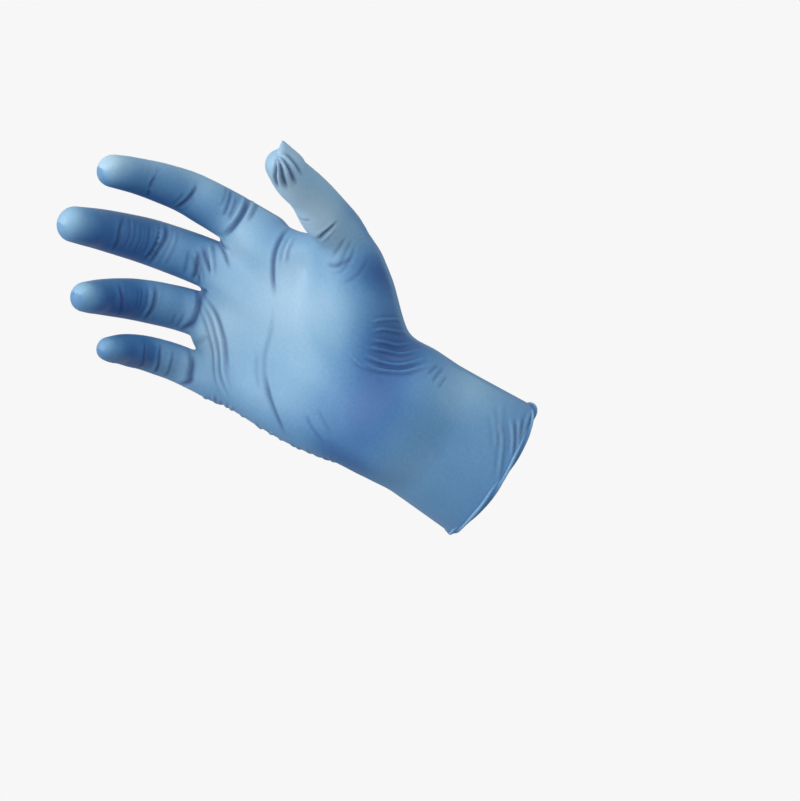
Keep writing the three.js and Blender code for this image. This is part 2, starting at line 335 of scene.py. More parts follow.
def digit_shapes(name):
    """A digit: a tube along its joints, which starts inside the palm, and its pads."""
    digit, half = DIGITS[name], FLESH[name]["half"]
    turns = digit["turns"]
    places = flesh_places(name)
    tip = places[-1]
    places[-1] = tip - turns[-1][:, 2] * (half[-1] + TIP_SLACK)
    shapes = [bone_pad(places[i], places[i + 1], turn, (half[i] + half[i + 1]) / 2)
              for i, turn in enumerate(turns)]
    backs = [turn[:, 1] for turn in turns]
    backs = [backs[0], *((a + b) / 2 for a, b in zip(backs, backs[1:])), backs[-1]]
    if name == "thumb":
        shapes.append(thumb_point(tip, turns[-1]))
        places.insert(0, from_palm(THUMB_HEEL))
        backs.insert(0, backs[0])
        half = (THUMB_HEEL_HALF, *half)
    else:
        places.insert(0, places[0] - digit["before"][:, 2] * ROOT_RUN)
        backs.insert(0, digit["before"][:, 1])
        half = (half[0] + ROOT_MORE, *half)
    return [Tube(*digit_curve(places, backs, half), DEPTH_RATIO), *shapes]


def hand_field():
    """The whole glove as one distance field."""
    palm = [palm_limb(start, end, r0, r1, METACARPAL_FLAT) for start, end, r0, r1 in METACARPALS]
    palm.append(Lump(from_palm(LITTLE_PAD["at"]), PALM_TURN, LITTLE_PAD["radii"]))
    toward_thumb = aimed(PALM_TURN @ np.array(THUMB_PAD["toward"]), PALM_TURN[:, 1])
    palm.append(Lump(from_palm(THUMB_PAD["at"]), toward_thumb, THUMB_PAD["radii"]))
    palm += [palm_limb(*limb) for limb in THUMB_LIMBS]
    field = Field(FIELD_LOW, FIELD_HIGH)
    field.join([Sleeve])
    field.join(palm, PALM_FILLETS)
    field.join([palm_limb(start, end, r, r) for start, end, r in WEBS], WEB_FILLETS)
    for name in DIGITS:
        field.join(digit_shapes(name), THUMB_FILLETS if name == "thumb" else FINGER_FILLETS)
    return field


# ---- the skin ----

def skin(field):
    """Vertices and four-cornered faces on the surface of a field, facing out."""
    value = field.value
    inside = value < 0
    cell_shape = np.array(value.shape) - 1
    offsets = [(i, j, k) for i in (0, 1) for j in (0, 1) for k in (0, 1)]

    def corner(array, offset):
        return array[tuple(slice(o, o + n) for o, n in zip(offset, cell_shape))]

    filled = sum(corner(inside, offset).astype(np.int8) for offset in offsets)
    cells = np.argwhere((filled > 0) & (filled < 8))
    total = np.zeros((len(cells), 3))
    hits = np.zeros(len(cells))
    for offset in offsets:
        for axis in range(3):
            if offset[axis]:
                continue
            ahead = np.eye(3, dtype=int)[axis]
            a = value[tuple((cells + offset).T)]
            b = value[tuple((cells + offset + ahead).T)]
            crossed = (a < 0) != (b < 0)
            share = np.where(crossed, a / np.where(crossed, a - b, 1), 0)
            total += np.where(crossed[:, None], offset + share[:, None] * ahead, 0)
            hits += crossed
    points = field.low + PITCH * (cells + total / hits[:, None])
    number = np.full(cell_shape, -1)
    number[tuple(cells.T)] = np.arange(len(cells))
    quads = []
    for axis in range(3):
        u, v = (axis + 1) % 3, (axis + 2) % 3
        here = [slice(1, -1)] * 3
        there = [slice(1, -1)] * 3
        here[axis], there[axis] = slice(0, -1), slice(1, None)
        first, second = inside[tuple(here)], inside[tuple(there)]
        for leaving in (True, False):
            edge = np.argwhere((first & ~second) if leaving else (~first & second))
            edge += np.array([0 if i == axis else 1 for i in range(3)])
            ring = []
            for du, dv in ((-1, -1), (0, -1), (0, 0), (-1, 0)):
                cell = edge.copy()
                cell[:, u] += du
                cell[:, v] += dv
                ring.append(number[tuple(cell.T)])
            quads.append(np.stack(ring if leaving else ring[::-1], axis=1))
    return points, np.concatenate(quads)


def neighbours(quads):
    """Both ends of every edge of the faces, each way."""
    a = np.concatenate([quads[:, i] for i in range(4)])
    b = np.concatenate([quads[:, (i + 1) % 4] for i in range(4)])
    return np.concatenate([a, b]), np.concatenate([b, a])


def relax(points, quads):
    """Evens the points out along the surface."""
    ends, others = neighbours(quads)
    degree = np.bincount(ends, minlength=len(points))[:, None]
    for _ in range(RELAX_ROUNDS):
        middle = np.stack([np.bincount(ends, points[others, i], len(points))
                           for i in range(3)], axis=1)
        points = points + RELAX_SHARE * (middle / degree - points)
    return points


def normals_of(points, quads):
    """Unit normals at the points, from the faces round each."""
    across = np.cross(points[quads[:, 2]] - points[quads[:, 0]],
                      points[quads[:, 3]] - points[quads[:, 1]])
    flat = quads.ravel()
    spread = np.repeat(across, 4, axis=0)
    total = np.stack([np.bincount(flat, spread[:, i], len(points)) for i in range(3)], axis=1)
    return total / np.maximum(np.linalg.norm(total, axis=1, keepdims=True), 1e-12)


# ---- creases ----

ROUND = 8.0            # millimetres that one radian takes up round a finger
CREASE_WIDTH = 0.78    # width of every line, over the width that its row gives
CREASE_GAIN = 0.85     # height of every line, over the height that its row gives
# Each line has a lower one of the other sign beside it: how far out, in widths,
# and how high, over the line's own height.
BESIDE_PLACE, BESIDE_SHARE = 1.9, 0.3
LINE_FADE = 0.3        # share of a line's length over which each end fades out
LINE_SPREAD = 4        # how far out a line is worked out, in widths
LINE_TINT, BESIDE_SHADOW_TINT = 1.3, 0.7      # how much a millimetre of height paints shade into a valley, pales a ridge, and paints shadow beside it
CHART_REACH = 20       # how far from its middle a digit's chart holds
# How squarely the film faces a chart where it starts to hold, and where it holds fully.
SIDE_FACING, EDGE_FACING = (0.0, 0.3), (0.45, 0.8)


def along_bones(points, digit):
    """Places along a digit's bones, and round them from the palm side and from the back."""
    away = np.full(len(points), np.inf)
    along, front, rear = (np.zeros(len(points)) for _ in range(3))
    run = 0.0
    for at, turn, length in zip(digit["places"], digit["turns"], digit["lengths"]):
        local = (points - at) @ turn
        past = local[:, 2] - np.clip(local[:, 2], 0, length)
        gap = np.sqrt(local[:, 0] ** 2 + local[:, 1] ** 2 + past ** 2)
        near = gap < away
        away = np.where(near, gap, away)
        along = np.where(near, run + local[:, 2], along)
        front = np.where(near, np.arctan2(local[:, 0], -local[:, 1]), front)
        rear = np.where(near, np.arctan2(local[:, 0], local[:, 1]), rear)
        run += length
    return along, front, rear


def nearest_digit(points):
    """The number of the digit nearest to each point, and the distance to its flesh's middle."""
    reach = []
    for name in DIGITS:
        places = flesh_places(name)
        best = np.full(len(points), np.inf)
        for a, b in zip(places, places[1:]):
            span = b - a
            share = np.clip((points - a) @ span / (span @ span), 0, 1)
            best = np.minimum(best, np.linalg.norm(points - a - share[:, None] * span, axis=1))
        reach.append(best)
    return np.argmin(reach, axis=0), np.min(reach, axis=0)


class Chart:
    """One side of the skin, laid flat: two lengths for each point, and where it holds.

    On the palm u runs to the thumb and v to the fingers. On a digit u runs along
    the bones and v round them.
    """

    def __init__(self, u, v, holds):
        self.u, self.v, self.holds = u, v, holds


def smooth_path(path, steps=6):
    """A curve through the points of a path."""
    path = np.asarray(path, float)
    padded = np.vstack([2 * path[0] - path[1], path, 2 * path[-1] - path[-2]])
    curve = []
    for a, b, c, d in zip(padded, padded[1:], padded[2:], padded[3:]):
        for t in np.arange(steps) / steps:
            curve.append(b + 0.5 * t * (c - a + t * (2 * a - 5 * b + 4 * c - d
                                                     + t * (3 * (b - c) + d - a))))
    return np.array(curve + [path[-1]])


class Skin:
    """Lines on the film, gathered as heights, painted shade in the folds and beside the ridges,
    and pale ridges.
    """

    def __init__(self, count):
        self.height, self.fold, self.ridge = (np.zeros(count) for _ in range(3))

    def mark(self, chart, path, width, height):
        """A ridge along a path where the height is above 0, or a valley below it."""
        curve = smooth_path(path)
        width = CREASE_WIDTH * width
        low = curve.min(axis=0) - LINE_SPREAD * width
        high = curve.max(axis=0) + LINE_SPREAD * width
        near = np.flatnonzero((chart.holds > 0) & (chart.u > low[0]) & (chart.u < high[0])
                              & (chart.v > low[1]) & (chart.v < high[1]))
        place = np.stack([chart.u[near], chart.v[near]], axis=1)
        best = np.full(len(near), np.inf)
        share = np.zeros(len(near))
        for i, (a, b) in enumerate(zip(curve, curve[1:])):
            span = b - a
            t = np.clip((place - a) @ span / (span @ span), 0, 1)
            gap = np.linalg.norm(place - a - t[:, None] * span, axis=1)
            share = np.where(gap < best, (i + t) / (len(curve) - 1), share)
            best = np.minimum(best, gap)
        taper = step(share, 0, LINE_FADE) * step(1 - share, 0, LINE_FADE) * chart.holds[near]
        middle = np.exp(-(best / width) ** 2) * taper
        beside = np.exp(-((best - BESIDE_PLACE * width) / width) ** 2) * taper
        self.height[near] += CREASE_GAIN * height * (middle - BESIDE_SHARE * beside)
        # A valley gets painted shade along its middle, partly the film lying double; a ridge gets
        # a painted shadow beside it.
        if height < 0:
            self.fold[near] += middle * min(1, -height * LINE_TINT)
        else:
            self.ridge[near] += middle * min(1, height * LINE_TINT)
            self.fold[near] += beside * min(1, height * BESIDE_SHADOW_TINT)


# Lines on the palm side: path across and along the palm, width and height.
PALM_LINES = (
    # the fan from the web between index and middle
    (((21, 95), (19, 87), (14, 79)), 0.8, -0.7),
    (((22, 92), (20, 84)), 0.8, -0.6),
    (((23, 95), (22, 89), (18, 81)), 0.7, 0.4),
    (((19, 95), (14, 89), (8, 84)), 0.9, 0.7),
    (((17, 96), (12, 90), (9, 86)), 0.8, -0.7),
    (((14, 97), (9, 92), (3, 88)), 0.9, 0.6),
    (((12, 95), (8, 91), (1, 89)), 0.8, -0.5),
    # long folds from the web between middle and ring
    (((0, 90), (-4, 78), (-10, 70), (-16, 65), (-22, 60), (-28, 52)), 1.0, 0.6),
    (((1, 89), (-3, 77), (-9, 68), (-15, 63), (-21, 57)), 0.9, -0.4),
    (((-1, 90), (-8, 77), (-16, 69), (-25, 61), (-31, 52)), 1.0, 0.35),
    (((-2, 89), (-10, 76), (-19, 68), (-29, 60)), 0.9, -0.3),
    # the long crease beside the thumb
    (((42, 68), (36, 67), (28, 65), (20, 61), (14, 56)), 1.1, -0.8),
    (((39, 63), (33, 62), (27, 60)), 0.9, 0.5),
    (((14, 57), (4, 52), (-6, 49), (-14, 43), (-20, 37), (-28, 28)), 1.3, -0.25),
    (((-6, 53), (-13, 48), (-19, 42)), 1.2, -0.2),
    (((-11, 45), (-18, 38), (-24, 31), (-30, 24)), 0.9, -0.6),
    # the heel below the little finger
    (((-16, 22), (-20, 17), (-24, 8)), 0.8, -0.35),
    (((-12, 19), (-16, 13), (-19, 8)), 0.8, -0.25),
    # crescents where the thumb side meets the wrist
    (((27, 16), (30, 13), (32, 10), (33, 7)), 0.7, 0.55),
    (((24, 14), (27, 11), (28, 8), (29, 4)), 0.7, 0.7),
    (((21, 13), (23, 8), (24, 4), (27, 1)), 0.7, 0.8),
    (((18, 13), (20, 7), (22, 1), (27, -4)), 0.75, 0.9),
    (((15, 13), (16, 5), (19, -2), (26, -8)), 0.8, 0.9),
    (((12, 13), (13, 5), (17, -4), (25, -11)), 0.8, 0.8),
    (((13, 18), (11, 12), (12, 5), (15, -1)), 0.7, 0.4),
    (((20, -12), (25, -12)), 0.6, -0.4),
    (((18, -15), (25, -14)), 0.6, -0.4),
    (((17, -18), (23, -17)), 0.6, -0.35),
    # tension lines beside the rolled edge
    (((17, -41), (11, -46), (3, -50), (-5, -53)), 0.8, 0.5),
    (((20, -43), (13, -49), (5, -53)), 0.7, 0.55),
    (((22, -45), (15, -50), (8, -54)), 0.7, 0.55),
    (((26, -46), (18, -50), (12, -53)), 0.7, 0.5),
    (((19, -37), (12, -43), (6, -47)), 0.9, 0.25),
    (((24, -36), (16, -42), (12, -44)), 0.9, 0.2),
)
# Lines on the back of the hand, on the same two lengths.
BACK_LINES = (
    # the film crumples where the wrist is bent back
    (((-22, -6), (-8, -9), (8, -8), (22, -4)), 1.5, 0.8),
    (((-24, 1), (-6, -2), (10, -1), (24, 3)), 1.6, 1.0),
    (((-20, 8), (-6, 5), (12, 6), (26, 10)), 1.6, 0.8),
    (((-12, 14), (2, 12), (16, 14)), 1.5, 0.5),
    (((-16, -14), (-2, -16), (12, -14)), 1.4, 0.5),
    # tendons
    (((6, 24), (16, 52), (27, 84)), 3.0, 0.8),
    (((1, 24), (4, 52), (8, 84)), 3.0, 0.8),
    (((-5, 24), (-8, 52), (-11, 80)), 3.0, 0.8),
    (((-10, 24), (-18, 48), (-27, 70)), 2.8, 0.6),
    # folds that run into the webs
    (((19, 96), (16, 84), (12, 72)), 1.1, 0.6),
    (((16, 97), (12, 86), (6, 78)), 1.0, -0.5),
    (((0, 93), (-3, 82), (-5, 70)), 1.1, 0.6),
    (((-3, 93), (-8, 83), (-12, 74)), 1.0, -0.5),
    (((-20, 84), (-21, 74), (-21, 62)), 1.1, 0.6),
    (((36, 62), (33, 50), (26, 38)), 1.3, -0.5),
    (((40, 58), (38, 44), (32, 32)), 1.3, 0.5),
    # slack in the cuff
    (((-14, -26), (-12, -38), (-13, -50)), 1.8, 0.5),
    (((-4, -22), (-2, -36), (-4, -52)), 1.8, 0.4),
    (((8, -24), (10, -38), (8, -51)), 1.8, 0.5),
    (((17, -28), (19, -40), (16, -50)), 1.6, 0.4),
)
# Faint creases over a knuckle: how far past the joint, and how far they reach
# to each side, in degrees round the finger.
KNUCKLE_LINES = ((-3.2, 34), (-0.8, 44), (1.6, 40), (3.8, 28))
KNUCKLE_BOW, KNUCKLE_WIDTH, KNUCKLE_HEIGHT = 1.2, 0.8, -0.28
# Small slack ridges across the little finger's edge of the palm.
EDGE_LOW, EDGE_HIGH, EDGE_EVERY = 4, 68, 3.4
EDGE_WIDTH, EDGE_SIZES, EDGE_LEANS = 0.9, (0.1, 0.55), (-2.5, 2.5)
EDGE_DEPTHS, EDGE_MIDDLE, EDGE_LENGTH, EDGE_SLANT = (-13, -9), 5, 11, 1.4
EDGE_SEED = 12
# Lines round the digits: path along the bones and round from the middle of the
# palm side in degrees, thumb side positive, then width and height.
DIGIT_LINES = {
    "index": (
        (((36, 75), (42, 20), (38, -20), (36, -45)), 1.0, -0.6),
        (((19, 60), (21, 25), (22, -10), (22, -45)), 1.0, -0.9),
        (((24, 30), (25, 0), (25, -30)), 0.7, -0.3),
        (((3, 95), (1.5, 40), (1, 10)), 0.8, -0.6),
        (((5, 90), (4, 60), (3.5, 25)), 0.7, -0.35),
        (((-0.5, 70), (-0.8, 40), (-1, 10)), 0.7, -0.5),
        (((-5, 95), (-5, 35), (-4, 5), (-2, -40)), 1.0, -1.1),
        (((-2.8, 90), (-3, 35), (-2.5, 0)), 0.8, 0.5),
        (((-7, 85), (-7, 50), (-6.5, 15)), 0.8, 0.5),
        (((-9, 80), (-9, 50), (-8, 20)), 0.8, -0.35),
    ),
    "middle": (
        (((40, 80), (43, 30), (42, -10), (41, -50)), 1.0, -0.7),
        (((38, 75), (38.5, 35), (38, -35)), 0.7, -0.35),
        (((35.5, 65), (36, 30), (35.5, -25)), 0.7, -0.3),
        (((33, 60), (33, 20), (32.5, -30)), 0.7, -0.25),
        (((17.5, 85), (16.5, 40), (17.5, 0), (18, -60)), 1.0, -1.1),
        (((21, 80), (24, 36), (25, 0), (25, -55)), 0.9, -0.9),
        (((28, 70), (28.5, 30), (28, -30)), 0.7, -0.35),
        (((14, 70), (13, 35), (13.5, 0), (14, -40)), 0.8, 0.4),
        (((3, 40), (1, 0), (0, -50)), 0.9, -0.8),
        (((6.5, 35), (5, 0), (4, -40)), 0.8, -0.4),
    ),
    "ring": (
        (((40, 65), (40.5, 25), (38.5, -17), (36, -50)), 1.0, -0.8),
        (((16.5, 75), (16.5, 22), (16.5, -15), (17, -60)), 1.0, -1.1),
        (((20, 65), (21.5, 20), (21, -40)), 0.7, -0.35),
        (((23, 60), (24.5, 17), (24, -30)), 0.7, -0.35),
        (((26, 56), (27.5, 17), (27, -25)), 0.7, -0.35),
        (((29, 50), (30.5, 17), (30, -15)), 0.7, -0.25),
        (((-2, 85), (-0.5, 26), (0, -10), (1, -60)), 1.0, -1.1),
        (((3.5, 10), (3.2, -20), (3, -50)), 0.7, -0.4),
        (((6.5, 5), (6, -20), (5.5, -45)), 0.7, -0.3),
    ),
    "little": (
        (((24.5, 75), (27, 18), (25, -25), (24, -60)), 0.9, -0.8),
        (((13, 75), (13.4, 16), (11.5, -35), (11, -60)), 0.9, -1.0),
        (((7.5, 60), (7.5, 6), (6.3, -35), (6, -60)), 0.9, -0.5),
        (((0, 75), (0.6, 5), (-0.7, -20), (-1, -60)), 1.0, -1.1),
        (((19, 50), (20, 10), (19, -30)), 0.7, -0.25),
    ),
    "thumb": (
        (((18, 75), (16.5, 34), (12, 0)), 0.8, -0.9),
        (((16, 60), (14.5, 34), (10, 4)), 0.7, 0.35),
        (((9, 62), (6, 40), (2, 12)), 0.7, -0.35),
        (((6, 70), (3, 45), (-1, 16)), 0.7, -0.3),
        (((3, 66), (0.5, 45), (-2, 18)), 0.7, -0.3),
        (((1, 55), (0.4, 25), (0.4, 0)), 0.7, -0.4),
        (((-3, 75), (-4, 50), (-4, 20)), 0.7, -0.25),
        (((25, 25), (24, 0), (25, -25)), 0.9, -0.3),
        (((58, 40), (52, 10), (45, -2)), 0.9, -0.8),
        (((58, 60), (52, 36), (44, 22)), 0.9, -0.9),
        (((58, 90), (52, 66), (44, 48)), 0.9, -0.9),
        (((58, 120), (52, 96), (45, 78)), 0.9, -0.7),
        (((58, 50), (52, 23), (47, 12)), 0.8, 0.5),
        (((58, 75), (52, 52), (46, 36)), 0.8, 0.5),
    ),
}


def charts(points, normals):
    """Charts of the palm side, the back, the little finger's edge and each digit's two sides."""
    local = (points - PALM_AT) @ PALM_TURN
    facing = normals @ PALM_TURN
    found = {
        "palm": Chart(local[:, 0], local[:, 2], step(-facing[:, 1], *SIDE_FACING)),
        "back": Chart(local[:, 0], local[:, 2], step(facing[:, 1], *SIDE_FACING)),
        "edge": Chart(local[:, 1], local[:, 2], step(-facing[:, 0], *EDGE_FACING)),
    }
    nearest, reach = nearest_digit(points)
    for k, (name, digit) in enumerate(DIGITS.items()):
        along, front, rear = along_bones(points, digit)
        holds = ((nearest == k) & (reach < CHART_REACH)).astype(float)
        found[name] = Chart(along, front * ROUND, holds)
        found[name + "_back"] = Chart(along, rear * ROUND, holds)
    return found


def mark_knuckles(marks, chart, lengths):
    """Faint creases over the joints between a finger's bones, on its back."""
    for joint in np.cumsum(lengths[:-1]):
        for past, angle in KNUCKLE_LINES:
            side = math.radians(angle) * ROUND
            path = ((joint + past, -side), (joint + KNUCKLE_BOW * past, 0), (joint + past, side))
            marks.mark(chart, path, KNUCKLE_WIDTH, KNUCKLE_HEIGHT)


def mark_edge(marks, chart):
    """Ridges of slack film, each at a slightly different place, slant and size."""
    random = np.random.default_rng(EDGE_SEED)
    for height in np.arange(EDGE_LOW, EDGE_HIGH, EDGE_EVERY):
        deep = random.uniform(*EDGE_DEPTHS)
        lean = random.uniform(*EDGE_LEANS)
        size = random.uniform(*EDGE_SIZES)
        path = ((deep, height), (deep + EDGE_MIDDLE, height + lean),
                (deep + EDGE_LENGTH, height + EDGE_SLANT * lean))
        marks.mark(chart, path, EDGE_WIDTH, size)


def crease(points, found):
    """Every line on the film, marked on its chart."""
    marks = Skin(len(points))
    for side, lines in (("palm", PALM_LINES), ("back", BACK_LINES)):
        for path, width, height in lines:
            marks.mark(found[side], path, width, height)
    for name, lines in DIGIT_LINES.items():
        for path, width, height in lines:
            path = [(along, math.radians(angle) * ROUND) for along, angle in path]
            marks.mark(found[name], path, width, height)
    for name in FINGERS:
        mark_knuckles(marks, found[name + "_back"], DIGITS[name]["lengths"])
    mark_edge(marks, found["edge"])
    return marks


# ---- pieces ----

# How far before and past each joint its piece of film is cut, measured along the
# bisector of the bones there.
WRIST_REACH = (-22.0, 18.0)
JOINT_REACH = {
    "index": ((0.8, 6.6), (-4.8, 7.0), (-5.5, 5.5)),
    "middle": ((0.8, 7.8), (-5.7, 7.0), (-5.5, 5.5)),
    "ring": ((0.8, 7.5), (-5.8, 7.0), (-5.5, 5.5)),
    "little": ((0.8, 4.6), (-3.9, 5.5), (-4.5, 5.0)),
    "thumb": ((-2.0, 11.0), (-7.5, 7.5)),
}
MARGIN = 0.7          # how far outside that a piece is cut, so that its edge fits the next
PIECE_REACH = 26      # how far from its middle a digit's pieces go


def crossings():
    """The piece at each joint, what it stands for, and the place of the joint and reach of its
    cut.
    """
    found = [dict(piece="film_wrist", nodes=["wrist_fold"], bodies=("cuff", "palm"),
                  at=PALM_AT, reach=WRIST_REACH, along=unit(UPWARD + PALM_TURN[:, 2]))]
    for name, digit in DIGITS.items():
        labels = ("base", "tip") if name == "thumb" else ("base", "middle", "tip")
        bodies = ("proximal", "tip") if name == "thumb" else ("proximal", "middle", "tip")
        before, parent = digit["before"][:, 2], "palm"
        for i, (label, body) in enumerate(zip(labels, bodies)):
            after = digit["turns"][i][:, 2]
            found.append(dict(
                piece=f"film_{name}_{label}", nodes=[f"{name}_{label}_fold", f"{name}_{body}"],
                bodies=(parent, f"{name}_{body}"), digit=name, at=digit["places"][i],
                reach=JOINT_REACH[name][i], along=unit(before + after)))
            before, parent = after, f"{name}_{body}"
    return found


def label_faces(centres, bends):
    """The piece that each face belongs to, as an index into the bends, with palm and cuff last."""
    palm, cuff = len(bends), len(bends) + 1
    label = np.full(len(centres), palm)
    wrist = bends[0]
    height = (centres - wrist["at"]) @ wrist["along"]
    label[height < wrist["reach"][1] + MARGIN] = 0
    label[height < wrist["reach"][0] - MARGIN] = cuff
    nearest, reach = nearest_digit(centres)
    for i, bend in enumerate(bends[1:], 1):
        own = (nearest == list(DIGITS).index(bend["digit"])) & (reach < PIECE_REACH)
        beyond = (centres - bend["at"]) @ bend["along"] > bend["reach"][0] - MARGIN
        label[own & beyond] = i
    return label


def add_piece(name, corners, faces, attributes, material):
    """A smooth mesh with its corners in millimetres, and what its material reads from it."""
    mesh = bpy.data.meshes.new(name)
    mesh.from_pydata(corners * MM, [], faces)
    mesh.polygons.foreach_set("use_smooth", np.ones(len(faces), bool))
    for label, values in attributes.items():
        vector = values.ndim == 2
        attribute = mesh.attributes.new(label, "FLOAT_VECTOR" if vector else "FLOAT", "POINT")
        attribute.data.foreach_set("vector" if vector else "value",
                                   values.astype(np.float32).ravel())
    mesh.materials.append(material)
    piece = bpy.data.objects.new(name, mesh)
    bpy.context.scene.collection.objects.link(piece)
    return piece


def film_piece(name, points, quads, normals, attributes, material):
    """A piece of film: the outer skin, and the inner one a film's thickness below it."""
    used, index = np.unique(quads, return_inverse=True)
    faces = index.reshape(quads.shape)
    outer, facing = points[used], normals[used]
    corners = np.concatenate([outer, outer - facing * FILM])
    both = np.concatenate([faces, faces[:, ::-1] + len(used)])
    twice = {label: np.concatenate([values[used]] * 2) for label, values in attributes.items()}
    piece = add_piece(name, corners, both.tolist(), twice, material)
    piece.data.normals_split_custom_set_from_vertices(np.concatenate([facing, -facing]).tolist())
    return piece


# ---- materials ----

def value_node(nodes, links, operation, *values):
    """A sum, product or other operation on sockets or numbers."""
    node = nodes.new("ShaderNodeMath")
    node.operation = operation
    for socket, value in zip(node.inputs, values):
        if isinstance(value, (int, float)):
            socket.default_value = value
        else:
            links.new(value, socket)
    return node.outputs["Value"]


def noise_node(nodes, links, place, scale):
    node = nodes.new("ShaderNodeTexNoise")
    node.inputs["Scale"].default_value = scale
    node.inputs["Detail"].default_value = NOISE_DETAIL
    links.new(place, node.inputs["Vector"])
    return node.outputs["Fac"]


# Colours of the film from its deepest to its palest, along a tint that holds painted
# light and shade, and the painted shade inside its folds.
FILM_TINTS = (
    (0.0, (0.020, 0.086, 0.28)),
    (0.25, (0.048, 0.168, 0.39)),
    (0.5, (0.115, 0.285, 0.52)),
    (0.75, (0.235, 0.44, 0.64)),
    (1.0, (0.40, 0.60, 0.77)),
)
FOLD_SHADE_TINT, FOLD_SHADE_SHARE = (0.018, 0.060, 0.20), 0.85
# Clouds about a centimetre across and a powdery grain of a millimetre: how many
# to a metre, and how far they shift the tint to either side.
CLOUD_SCALE, CLOUD_SHIFT = 70, 0.05
GRAIN_SCALE, GRAIN_SHIFT = 900, 0.07
NOISE_DETAIL = 3
GRAIN_BUMP, GRAIN_DEPTH = 0.16, 0.0004     # strength, and depth in metres
ROUGHNESS = (0.42, 0.58)
SPECULAR = 0.42


def nitrile():
    """Matt stretched film: its tint with painted light and shade, cloudy and finely grained, with
    painted shade in its folds.
    """
    material = bpy.data.materials.new("nitrile_film")
    material.use_nodes = True
    nodes, links = material.node_tree.nodes, material.node_tree.links
    shader = nodes["Principled BSDF"]
    sockets = {}
    for label in ("tint", "fold", "rest"):
        attribute = nodes.new("ShaderNodeAttribute")
        attribute.attribute_name = label
        sockets[label] = attribute.outputs["Vector" if label == "rest" else "Fac"]
    cloud = noise_node(nodes, links, sockets["rest"], CLOUD_SCALE)
    grain = noise_node(nodes, links, sockets["rest"], GRAIN_SCALE)
    cloudy = value_node(nodes, links, "MULTIPLY_ADD", cloud, 2 * CLOUD_SHIFT, -CLOUD_SHIFT)
    grainy = value_node(nodes, links, "MULTIPLY_ADD", grain, 2 * GRAIN_SHIFT, -GRAIN_SHIFT)
    pale = value_node(nodes, links, "ADD", sockets["tint"], cloudy)
    pale = value_node(nodes, links, "ADD", pale, grainy)
    ramp = nodes.new("ShaderNodeValToRGB")
    stops = ramp.color_ramp.elements
    while len(stops) < len(FILM_TINTS):
        stops.new(0.5)
    for stop, (at, colour) in zip(stops, FILM_TINTS):
        stop.position = at
        stop.color = (*colour, 1)
    links.new(pale, ramp.inputs["Fac"])
    # Painted shade in the folds darkens the base colour.
    mix = nodes.new("ShaderNodeMix")
    mix.data_type = "RGBA"
    painted_fold_shade = value_node(nodes, links, "MULTIPLY", sockets["fold"], FOLD_SHADE_SHARE)
    links.new(painted_fold_shade, mix.inputs["Factor"])
    links.new(ramp.outputs["Color"], mix.inputs["A"])
    mix.inputs["B"].default_value = (*FOLD_SHADE_TINT, 1)
    links.new(mix.outputs["Result"], shader.inputs["Base Color"])
    bump = nodes.new("ShaderNodeBump")
    bump.inputs["Strength"].default_value = GRAIN_BUMP
    bump.inputs["Distance"].default_value = GRAIN_DEPTH
    links.new(grain, bump.inputs["Height"])
    links.new(bump.outputs["Normal"], shader.inputs["Normal"])
    rough = nodes.new("ShaderNodeMapRange")
    rough.inputs["To Min"].default_value, rough.inputs["To Max"].default_value = ROUGHNESS
    links.new(cloud, rough.inputs["Value"])
    links.new(rough.outputs["Result"], shader.inputs["Roughness"])
    shader.inputs["Specular IOR Level"].default_value = SPECULAR
    return material


# ---- the glove ----

def spot(x, y, at, size):
    """A soft spot that is 1 at its middle."""
    return np.exp(-((x - at[0]) / size[0]) ** 2 - ((y - at[1]) / size[1]) ** 2)


BASE_TINT = 0.44
RIDGE_TINT = 0.16
# Pale and dark spots on the palm chart: place, size and how much paler. The pale ones are
# partly stretched film and partly painted light; the dark ones are painted shade.
PALM_STRETCH_LIGHT_SPOTS = (
    ((20, 50), (19, 26), 0.42),
    ((-6, 62), (20, 24), 0.24),
    ((28, 83), (19, 10), 0.32),
    ((-16, 74), (22, 9), 0.22),
    ((34, 54), (9, 9), 0.16),
    ((50, 42), (9, 11), 0.34),
    ((-5, 32), (12, 12), 0.18),
    ((22, 30), (14, 16), 0.12),
    ((-20, 40), (12, 24), 0.14),
    # painted shade round the wrist and on the thumb pad's edge
    ((24, 9), (15, 11), -0.30),
    ((46, 20), (8, 12), -0.42),
    ((2, -1), (28, 13), -0.31),
    ((-25, 3), (5, 16), -0.22),
    ((-14, -22), (14, 11), 0.12),
    ((22, -24), (12, 14), 0.28),
    ((5, -42), (20, 10), 0.06),
)
# The digits: how much painted light the end gets, how much painted shade the middle gets
# (below 0 the middle is painted lighter), and how much painted light the thumb side gets over the
# other.
DIGIT_LIGHT_AND_SHADE = {
    "index": (0.36, 0.13, 0.24),
    "middle": (0.28, 0.32, 0.10),
    "ring": (0.20, 0.38, 0.14),
    "little": (0.02, 0.38, 0.08),
    "thumb": (0.42, -0.52, 0.04),
}
END_FADE = (-16, 1)              # where the painted light on the end fades in, from the tip
MIDDLE_FADE = (0.18, 0.46)       # where the painted shade on the middle fades in, over the digit's length
ROOT_FADE = 12                   # how far past its first joint a digit's sides take their painted light and shade
FRONT_WIDTH = 1.1                # of the painted shade's darker palm side, in radians
BACK_DEPTH = 0.45                # how strong the middle's painted shade is on the back, over the front
SIDE_LIMITS = (-1, 1.2)          # where the sides' painted light and shade stop growing, in radians


def palm_stretch_and_light(palm):
    """How much paler each point of the palm is painted for the spots on it: partly stretched film,
    partly painted light and shade.
    """
    return sum(amount * palm.holds * spot(palm.u, palm.v, at, size)
               for at, size, amount in PALM_STRETCH_LIGHT_SPOTS)


